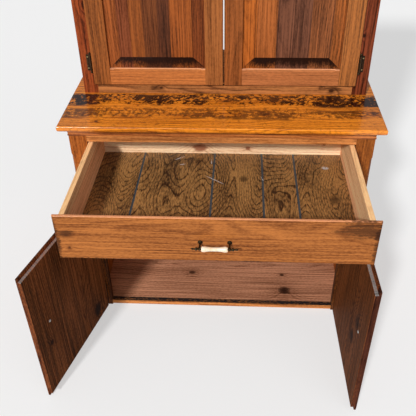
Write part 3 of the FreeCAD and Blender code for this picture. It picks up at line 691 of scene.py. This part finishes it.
def turn_on(shape, outline, base, axis):
    """Adds a turned form to the mesh: an outline of (radius, distance along the axis)."""
    axis = Vector(axis)
    side = Vector((1, 0, 0)) if abs(axis.x) < 0.5 else Vector((0, 0, 1))
    other = axis.cross(side)
    rings = []
    for radius, distance in smooth_line(outline, OUTLINE_STEPS):
        centre = Vector(base) + axis * distance
        if radius < ON_AXIS:
            rings.append([shape.verts.new(centre)])
            continue
        ring = []
        for number in range(TURNED_SIDES):
            angle = math.tau * number / TURNED_SIDES
            ring.append(shape.verts.new(
                centre + (side * math.cos(angle) + other * math.sin(angle)) * radius))
        rings.append(ring)
    for ring in (rings[0], rings[-1]):
        if len(ring) > 1:
            shape.faces.new(ring)
    for first, second in zip(rings, rings[1:]):
        for number in range(TURNED_SIDES):
            follower = (number + 1) % TURNED_SIDES
            corners = [first[number % len(first)], first[follower % len(first)],
                       second[follower % len(second)], second[number % len(second)]]
            shape.faces.new(list(dict.fromkeys(corners)))


def turned(name, body, slot, finish, forms, *nodes):
    """Turned forms, each (outline, base, axis), in one piece that stands for its solids."""
    shape = bmesh.new()
    for outline, base, axis in forms:
        turn_on(shape, outline, base, axis)
    bmesh.ops.recalc_face_normals(shape, faces=shape.faces)
    set_out(smoothed(shape, name, TURNED_SHARP), name, body, slot, finish, *nodes)


def scaled(outline, radius=MM, length=MM):
    return [(radius * across, length * along) for across, along in outline]


def glaze(name, pale, warm):
    """Cream ceramic under a clear glaze, with a faint craze and warmer where it is thin."""
    finish = Finish(name)
    seen = finish.places()
    cloud = finish.noise(seen, (70.0, 70.0, 70.0), 3.0)
    craze = finish.add("ShaderNodeTexVoronoi", {"feature": "DISTANCE_TO_EDGE"},
                       {"Vector": seen, "Scale": 420.0})
    colour = finish.blend(cloud.rise(0.3, 0.75), seen_as(*pale), seen_as(*warm))
    colour = finish.blend(craze.rise(0.05, 0.0) * 0.18, colour, seen_as(176, 140, 104))
    return finish.done(Base_Color=colour, Roughness=(cloud - 0.5) * 0.1 + 0.24,
                       Normal=finish.bump(cloud, 0.1, 0.0002), Coat_Weight=0.8,
                       Coat_Roughness=0.04)


antique_brass = metal("antique_brass", (132, 110, 68), (66, 53, 32), (24, 20, 14), 0.4,
                      0.0003)
cream_glaze = glaze("cream_glaze", (250, 232, 208), (240, 208, 168))
pull_x, pull_y, pull_z = ((low + high) / 2 for low, high in zip(*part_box("drawer_pull_rod")))
posts = []
ends = []
for way in (-1, 1):
    x = pull_x + way * PULL_CENTRES / 2
    posts.append((scaled(POST_OUTLINE, PULL_FOOT_RADIUS, PULL_REACH),
                  (x, pull_y + PULL_REACH, pull_z), (0, -1, 0)))
    ends.append((scaled(FINIAL_OUTLINE), (x + way * FINIAL_FROM_POST, pull_y, pull_z),
                 (way, 0, 0)))
rod = (((ROD_RADIUS, -ROD_HALF), (ROD_RADIUS, ROD_HALF)), (pull_x, pull_y, pull_z), (1, 0, 0))
turned("pull_posts", "drawer", "antique_brass", antique_brass, posts, "drawer_pull_posts")
turned("pull_rod", "drawer", "antique_brass", antique_brass, [*ends, rod], "drawer_pull_rod")
turned("pull_grip", "drawer", "glazed_ceramic", cream_glaze,
       [(scaled(GRIP_OUTLINE), (pull_x, pull_y, pull_z), (1, 0, 0))], "drawer_pull_grip")

# Lower doors: each one lipped board of glued pine, with a raised field worked in its outer
# face. They stand open, and their flat inner faces are stained a much darker brown.
DOOR_EASE = 0.0006
LOWER_SWING = {"left": math.radians(-105.4), "right": math.radians(91.1)}
DOOR_FACE = -0.008
DOOR_LIP_BACK = -0.0005
DOOR_INSIDE = 0.011
LEAF_REACH = 0.013
BARREL_RADIUS = 0.00375
STAIN_DEPTH = 0.001
INSIDE_DEPTH = 0.0012
END_DEPTH = 0.0015
STEP_LENGTH = 0.012
STEP_FROM_LIP = 0.0008
LOWER_KNOTS = {"left": ((-0.185, -0.12, 0.024), (-0.06, 0.15, 0.012)),
               "right": ((0.034, -0.107, 0.023), (-0.058, -0.083, 0.026))}
FREE_EDGE = {"left": (0.19, None), "right": (None, -0.19)}
# Painted shade on the doors' free edges, stronger on the right door.
EDGE_SHADE_PAINT = {"left": 0.6, "right": 0.95}
# The pale grey on the rebate's step at the top is dust and a painted sky reflection.
STEP_DUST_AND_SHEEN = {"left": 0.5, "right": 0.8}
door_amber = Tone((140, 78, 42), (98, 50, 26), (22, 10, 6), rough=0.6, coat=0.0, sheen=0.02)


class HungDoor:
    """Where things on a door lie at rest: x from the hinge pin, y back from the frame."""

    def __init__(self, side, pin, plane, swing):
        self.hand = 1 if side == "left" else -1
        self.pin = pin
        self.plane = plane
        self.turn = Matrix.Rotation(swing, 3, "Z")

    def place(self, x, y, z):
        return self.pin + self.turn @ Vector((self.hand * x, self.plane - self.pin.y + y, z))

    def way(self, x, y):
        return self.turn @ Vector((self.hand * x, y, 0))


def hung(case, side, swing):
    """The door that turns on the pins at the case's left or right side."""
    low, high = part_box(case + "_hinge_leaves")
    x = low[0] + LEAF_REACH if side == "left" else high[0] - LEAF_REACH
    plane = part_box(case + "_stile_" + side)[0][1]
    return HungDoor(side, Vector((x, low[1] + BARREL_RADIUS, 0)), plane, swing)


for side, swing in LOWER_SWING.items():
    node = "lower_door_" + side + "_board"
    inward = Matrix.Rotation(swing, 3, "Z") @ GRAIN_Y
    centre = middle(node)
    low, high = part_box(node)
    top = (high[2] - low[2]) / 2
    door = hung("lower", side, swing)
    outside, lip_back, inside = ((door.place(0.0, y, centre.z) - centre).dot(inward)
                                 for y in (DOOR_FACE, DOOR_LIP_BACK, DOOR_INSIDE))
    sawn(node, "lower_" + side + "_door", "pine", GRAIN_Z, inward, door_amber, DOOR_EASE,
         pith=(0.06, -0.06), seed=1.1 + swing, knots=LOWER_KNOTS[side], patches=(
             # painted shade on the free edge
             patch((66, 34, 24), EDGE_SHADE_PAINT[side], across=FREE_EDGE[side],
                   through=(outside + STAIN_DEPTH, inside - STAIN_DEPTH)),
             patch((74, 42, 18), 0.68, through=(inside - INSIDE_DEPTH, None)),
             patch((52, 28, 20), 0.6, along=(top - END_DEPTH, None)),
             # dust and a painted sky reflection on the rebate's step
             patch((150, 147, 144), STEP_DUST_AND_SHEEN[side], along=(top - STEP_LENGTH, None),
                   through=(lip_back + STEP_FROM_LIP, inside - STAIN_DEPTH))))

# Knobs: cream glazed ceramic, turned, on a brass rose. A steel bolt comes through the door
# from the inside and is let into the knob.
KNOB_RADIUS = 0.0125
KNOB_LENGTH = 0.0178
KNOB_OUTLINE = ((0.62, 0.0), (0.62, 0.03), (0.52, 0.08), (0.46, 0.16), (0.52, 0.27),
                (0.76, 0.38), (0.95, 0.5), (0.99, 0.6), (0.94, 0.74), (0.74, 0.88),
                (0.4, 0.97), (0.0, 1.0))
ROSE_OUTLINE = ((0.0, 0.0), (1.0, 0.0), (1.0, 0.25), (0.94, 0.55), (0.72, 0.85), (0.6, 1.0),
                (0.0, 1.0))
ROSE_RADIUS = 0.011
ROSE_THICKNESS = 0.003
BOLT_OUTLINE = ((0.0, 0.0), (1.0, 0.0), (1.0, 0.25), (0.8, 0.7), (0.4, 0.95), (0.0, 1.0))
BOLT_RADIUS = 0.0042
BOLT_RISE = 0.0018
LOWER_KNOB_OUT = 0.3488
LOWER_KNOB_HEIGHT = 0.284
bolt_steel = metal("bolt_steel", (236, 238, 234), (214, 216, 212), (150, 150, 146), 0.4,
                   0.0001, 0.4)


def fit_knob(case, side, swing, out, height):
    door = hung(case, side, swing)
    node = case + "_door_" + side + "_knob"
    body = case + "_" + side + "_door"
    foot = door.place(out, DOOR_FACE, height)
    ahead = door.way(0, -1)
    turned(node + "_rose_turned", body, "antique_brass", antique_brass,
           [(scaled(ROSE_OUTLINE, ROSE_RADIUS, ROSE_THICKNESS), foot, ahead)],
           node + "_rose")
    turned(node + "_turned", body, "glazed_ceramic", cream_glaze,
           [(scaled(KNOB_OUTLINE, KNOB_RADIUS, KNOB_LENGTH), foot + ahead * ROSE_THICKNESS,
             ahead)], node)
    turned(node + "_bolt", body, "antique_brass", bolt_steel,
           [(scaled(BOLT_OUTLINE, BOLT_RADIUS, BOLT_RISE),
             door.place(out, DOOR_INSIDE, height), -ahead)])


for side, swing in LOWER_SWING.items():
    fit_knob("lower", side, swing, LOWER_KNOB_OUT, LOWER_KNOB_HEIGHT)

# Hinges: barrel hinges of antique brass. One leaf is screwed on the face frame and the other
# is bent into the door's rebate, and the pin ends in a turned ball above and below.
PIN_OUTLINE = ((0.0, -0.2), (1.9, -0.2), (2.1, 0.5), (1.7, 1.2), (2.3, 2.0), (3.2, 3.2),
               (3.4, 4.6), (2.9, 6.2), (1.7, 7.5), (0.0, 8.0))
BARREL_HALF = 0.0265
LEAF_THICKNESS = 0.0015
HINGE_FROM_END = 0.072
CASE_SCREW_OUT = -0.0088
CASE_SCREW_UP = 0.0185
DOOR_SCREW_DEEP = 0.0042
DOOR_SCREW_UP = 0.0058
SCREW_RADIUS = 0.0022
SCREW_RISE = 0.0005
SUNK_RISE = 0.0002
SCREW_SLOT = 0.0007
LOWER_LEAF_IN = 0.0203
stained_brass = metal("stained_brass", (104, 78, 48), (58, 40, 26), (22, 15, 10), 0.45,
                      0.0003)
old_screw = metal("old_screw", (190, 168, 120), (120, 102, 70), (52, 44, 32), 0.42, 0.0002)


def fit_hinges(case, leaf_in, swings):
    """A case's hinges: leaf_in is how far from the pin the leaves on the doors lie."""
    pins = []
    case_screws = []
    for side, swing in swings.items():
        door = hung(case, side, swing)
        shut = hung(case, side, 0.0)
        board = "_board" if case == "lower" else "_stiles"
        low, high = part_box(case + "_door_" + side + board)
        door_screws = []
        for height in (low[2] + HINGE_FROM_END, high[2] - HINGE_FROM_END):
            for way in (-1, 1):
                end = shut.pin + Vector((0, 0, height + way * BARREL_HALF))
                pins.append((scaled(PIN_OUTLINE), end, (0, 0, way)))
                case_screws.append(
                    (shut.place(CASE_SCREW_OUT, -LEAF_THICKNESS, height + way * CASE_SCREW_UP),
                     (0, -1, 0), 0.5 + height * 9 + way))
                door_screws.append(
                    (door.place(leaf_in - LEAF_THICKNESS, DOOR_SCREW_DEEP,
                                height + way * DOOR_SCREW_UP),
                     door.way(-1, 0), 0.9 + height * 7 + way * 0.6))
        node = case + "_door_" + side + "_hinge_leaves"
        body = case + "_" + side + "_door"
        planed(node, body, "antique_brass", stained_brass, THIN_EASE)
        driven(node + "_screws", body, "antique_brass", door_screws, SCREW_RADIUS, SUNK_RISE,
               SCREW_SLOT, old_screw)
    turned(case + "_hinge_pin_ends", "case", "antique_brass", antique_brass, pins)
    planed(case + "_hinge_leaves", "case", "antique_brass", stained_brass, THIN_EASE)
    driven(case + "_leaf_screws", "case", "antique_brass", case_screws, SCREW_RADIUS,
           SCREW_RISE, SCREW_SLOT, old_screw)


fit_hinges("lower", LOWER_LEAF_IN, LOWER_SWING)

# Upper case: two side boards and a face frame of the same stained pine, shallower than the
# lower case and flush with its back. Its floor, two shelves on battens and a rail at the
# top of the open back are left bare inside.
LOOSE_EASE = 0.0012
UPPER_REDS = {"left": Tone((148, 69, 33), (106, 46, 21), (30, 14, 8)),
              "right": Tone((118, 55, 31), (82, 36, 19), (28, 12, 7))}
upper_rail_amber = Tone((178, 112, 62), (128, 76, 42), (60, 30, 16))
shelf_pine = Tone((204, 150, 98), (162, 104, 60), (80, 44, 24), rough=0.58, coat=0.0)
UPPER_KNOTS = {"left": ((-0.2395, 0.014, 0.008), (0.1, -0.01, 0.006)),
               "right": ((0.05, 0.008, 0.007), (-0.33, -0.01, 0.005))}
for side, seed in (("left", 2.4), ("right", 6.1)):
    sawn("upper_side_" + side, "case", "pine", GRAIN_Z, GRAIN_X, UPPER_REDS[side],
         slope=0.025, seed=seed, knots=((0.21, 0.05, 0.011), (-0.15, -0.07, 0.013)))
    sawn("upper_stile_" + side, "case", "pine", GRAIN_Z, GRAIN_Y, UPPER_REDS[side],
         slope=0.012, seed=seed + 1.0, knots=UPPER_KNOTS[side])
sawn("upper_bottom_rail", "case", "pine", GRAIN_X, GRAIN_Y, upper_rail_amber, seed=3.9,
     figure=0.7,
     # a dark band just below the doors is a painted shadow; the rail is darker along its foot
     patches=[patch((30, 15, 9), 1.0, across=(-0.0145, -0.0085)),
              patch((46, 26, 14), 0.7, across=(0.0182, None))],
     smudges=((0.35, 0.0, 0.03, 0.008), (-0.22, 0.0, 0.02, 0.012)),
     knots=((0.34, 0.006, 0.006), (0.31, -0.006, 0.004), (-0.2, 0.0, 0.005)))
sawn("upper_top_rail", "case", "pine", GRAIN_X, GRAIN_Y, rail_amber, seed=5.5)
for node, seed in (("upper_floor", 0.7), ("upper_shelf_low", 1.9), ("upper_shelf_high", 4.4)):
    sawn(node, "case", "plain_pine", GRAIN_X, GRAIN_Z, shelf_pine, LOOSE_EASE, slope=0.015,
         seed=seed, knots=((0.2, 0.03, 0.009), (-0.27, -0.06, 0.007)))
sawn("upper_shelf_battens", "case", "plain_pine", GRAIN_Y, GRAIN_X, batten_pine, seed=2.6)
sawn("upper_back_rail", "case", "plain_pine", GRAIN_X, GRAIN_Y, shelf_pine, seed=6.6)

# Top board and cornice: a nosed board over a built-up moulding of bead, hollow and fillet,
# mitred at the corners and nailed on, in the same amber stain.
sawn("upper_top", "case", "pine", GRAIN_X, GRAIN_Z, amber, TOP_EASE, slope=0.015, seed=1.4,
     knots=((0.17, 0.05, 0.011), (-0.3, -0.08, 0.009)))
sawn("cornice_front", "case", "pine", GRAIN_X, GRAIN_Y, cove_amber, MOULDED_EASE, seed=5.9)
sawn("cornice_returns", "case", "pine", GRAIN_Y, GRAIN_X, cove_amber, MOULDED_EASE, seed=7.2)

# Upper doors: stiles and rails round a raised panel glued up from strips of different pine,
# some red and some nearly walnut brown. The rails' inner edges are chamfered by hand.
UPPER_LEAF_IN = 0.0143
UPPER_KNOB_OUT = 0.3868
UPPER_KNOB_HEIGHT = 1.262
PANEL_BEVEL = 0.0455
# A pale band on the rails' chamfer is a painted highlight.
CHAMFER_HIGHLIGHT_BAND = (0.0595, 0.052)
STILE_STRIPS = {
    "left": [(-0.206, (149, 85, 40), (106, 58, 29), 0.2),
             (0.0, (158, 95, 49), (126, 72, 36), 0.75), 0.206],
    "right": [(-0.206, (148, 83, 40), (112, 61, 29), 0.45),
              (0.0, (164, 99, 50), (122, 74, 40), 0.05), 0.206]}
RAIL_TONES = {"left": Tone((196, 117, 60), (158, 90, 47), (85, 43, 23)),
              "right": Tone((184, 111, 64), (145, 86, 49), (79, 41, 24))}
# Outer strips lie on the side bevels: partly painted light, lighter left and darker right.
PANEL_STRIPS = {
    "left": [(-0.16, (151, 81, 38), (115, 58, 27), 0.1),
             (-0.112, (128, 68, 40), (95, 47, 25), 0.9),
             (-0.075, (144, 79, 36), (112, 59, 29), 0.35),
             (-0.035, (113, 63, 34), (88, 47, 27), 0.6),
             (0.01, (94, 52, 32), (67, 38, 25), 0.15),
             (0.046, (151, 81, 36), (119, 61, 29), 0.5),
             (0.112, (131, 67, 32), (97, 49, 25), 0.8), 0.16],
    "right": [(-0.16, (171, 92, 36), (135, 70, 29), 0.3),
              (-0.109, (164, 92, 45), (131, 72, 34), 0.7),
              (-0.049, (113, 70, 50), (83, 50, 36), 0.0),
              (0.051, (142, 83, 47), (106, 61, 36), 0.55),
              (0.116, (162, 90, 42), (118, 66, 32), 0.85), 0.16]}
door_polish = Tone((0, 0, 0), (0, 0, 0), (36, 18, 11), rough=0.4)
for side in ("left", "right"):
    body = "upper_" + side + "_door"
    door = "upper_door_" + side
    low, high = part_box(door + "_stiles")
    top = (high[2] - low[2]) / 2
    low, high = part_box(door + "_panel")
    field = ((high[2] - low[2]) / 2 - PANEL_BEVEL, (high[0] - low[0]) / 2 - PANEL_BEVEL)
    sawn(door + "_stiles", body, "pine", GRAIN_Z, GRAIN_Y, door_polish, TOP_EASE,
         slope=0.008, contrast=0.45, figure=0.8, strips=STILE_STRIPS[side],
         # the stiles' bottom ends are darkened as painted shade under the door
         patches=[patch((40, 20, 12), 0.9, along=(None, END_DEPTH - top))])
    sawn(door + "_rails", body, "pine", GRAIN_X, GRAIN_Y, RAIL_TONES[side], MOULDED_EASE,
         slope=0.01, seed=len(side), contrast=0.25, figure=0.5,
         # the bottom rail's lowest edge is darkened as painted shade under the door
         patches=[patch((40, 20, 12), 0.9, across=(top - END_DEPTH, None)),
                  # painted highlight on the chamfer
                  patch((240, 172, 128), 0.55,
                        across=(top - CHAMFER_HIGHLIGHT_BAND[0], top - CHAMFER_HIGHLIGHT_BAND[1]))])
    sawn(door + "_panel", body, "pine", GRAIN_Z, GRAIN_Y, door_polish, TOP_EASE,
         slope=0.03, contrast=0.5, figure=0.85, strips=PANEL_STRIPS[side], bevel=field)
    fit_knob("upper", side, 0.0, UPPER_KNOB_OUT, UPPER_KNOB_HEIGHT)
fit_hinges("upper", UPPER_LEAF_IN, {"left": 0.0, "right": 0.0})

# Studio: a plain pale floor that runs past the view, a key light from the upper left in
# front, a weak broad one from the right in front, and a pale sky. The camera stands where
# the photograph was taken, at eye height and looking down into the open drawer.
FLOOR_HALF = 14.0
FLOOR_GREY = 0.955
KEY_STRENGTH = 2.6
KEY_SPREAD = math.radians(5)
KEY_TURN = (math.radians(55.8), 0, math.radians(-21.4))
FILL_STRENGTH = 0.6
FILL_SPREAD = math.radians(70)
FILL_TURN = (math.radians(52), 0, math.radians(20))
SKY_STRENGTH = 0.26
FLOOR_GLOW = 0.5
SENSOR = 36.0
PICTURE_WIDTH = 416
FOCAL_PIXELS = 583.8
CAMERA_FROM_FRONT = Vector((0.0572, -1.5145, 1.5977))
CAMERA_YAW = -0.064
CAMERA_PITCH = 0.644
CAMERA_ROLL = -0.020


def soft_light(name, strength, spread, turn):
    lamp = bpy.data.lights.new(name, "SUN")
    lamp.energy = strength
    lamp.angle = spread
    held(name, lamp).rotation_euler = turn


def studio_world():
    world = bpy.data.worlds.new("studio")
    scene.world = world
    world.use_nodes = True
    nodes, links = world.node_tree.nodes, world.node_tree.links
    light = nodes["Background"]
    light.inputs["Color"].default_value = (1.0, 1.0, 1.0, 1.0)
    light.inputs["Strength"].default_value = SKY_STRENGTH
    backdrop = nodes.new("ShaderNodeBackground")
    backdrop.inputs["Color"].default_value = grey(FLOOR_GREY)
    rays = nodes.new("ShaderNodeLightPath")
    choice = nodes.new("ShaderNodeMixShader")
    links.new(rays.outputs["Is Camera Ray"], choice.inputs["Fac"])
    links.new(light.outputs["Background"], choice.inputs[1])
    links.new(backdrop.outputs["Background"], choice.inputs[2])
    links.new(choice.outputs["Shader"], nodes["World Output"].inputs["Surface"])


def studio_floor():
    mesh = bpy.data.meshes.new("studio_floor")
    half = FLOOR_HALF
    mesh.from_pydata([(-half, -half, 0), (half, -half, 0), (half, half, 0), (-half, half, 0)],
                     [], [(0, 1, 2, 3)])
    paper = Finish("studio_paper")
    rays = paper.add("ShaderNodeLightPath", {}, {})
    glow = paper.add("ShaderNodeEmission", {}, {"Color": grey(FLOOR_GREY), "Strength": 1.0})
    looked_at = (rays + rays.output(3) + rays.output(6)).below(1.0) * FLOOR_GLOW
    mesh.materials.append(paper.done(Base_Color=grey(FLOOR_GREY), Roughness=0.9))
    lit = Value(paper, paper.surface.outputs[0])
    both = paper.add("ShaderNodeMixShader", {}, {0: looked_at, 1: lit, 2: glow})
    paper.feed(paper.tree.nodes["Material Output"].inputs[0], both)
    held("studio_floor", mesh)


def photograph_camera():
    ahead = Vector((math.sin(CAMERA_YAW) * math.cos(CAMERA_PITCH),
                    math.cos(CAMERA_YAW) * math.cos(CAMERA_PITCH), -math.sin(CAMERA_PITCH)))
    level = Vector((math.cos(CAMERA_YAW), -math.sin(CAMERA_YAW), 0))
    upright = level.cross(ahead)
    right = level * math.cos(CAMERA_ROLL) + upright * math.sin(CAMERA_ROLL)
    up = upright * math.cos(CAMERA_ROLL) - level * math.sin(CAMERA_ROLL)
    lens = bpy.data.cameras.new("photograph_camera")
    lens.sensor_width = SENSOR
    lens.lens = FOCAL_PIXELS / PICTURE_WIDTH * SENSOR
    front = Vector((middle("countertop").x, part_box("lower_stile_left")[0][1], 0))
    turn = Matrix((right, up, -ahead)).transposed().to_4x4()
    camera = held("photograph_camera", lens)
    camera.matrix_world = Matrix.Translation(front + CAMERA_FROM_FRONT) @ turn
    scene.camera = camera


soft_light("key_light", KEY_STRENGTH, KEY_SPREAD, KEY_TURN)
soft_light("fill_light", FILL_STRENGTH, FILL_SPREAD, FILL_TURN)
studio_world()
studio_floor()
photograph_camera()
scene.view_settings.view_transform = "Standard"
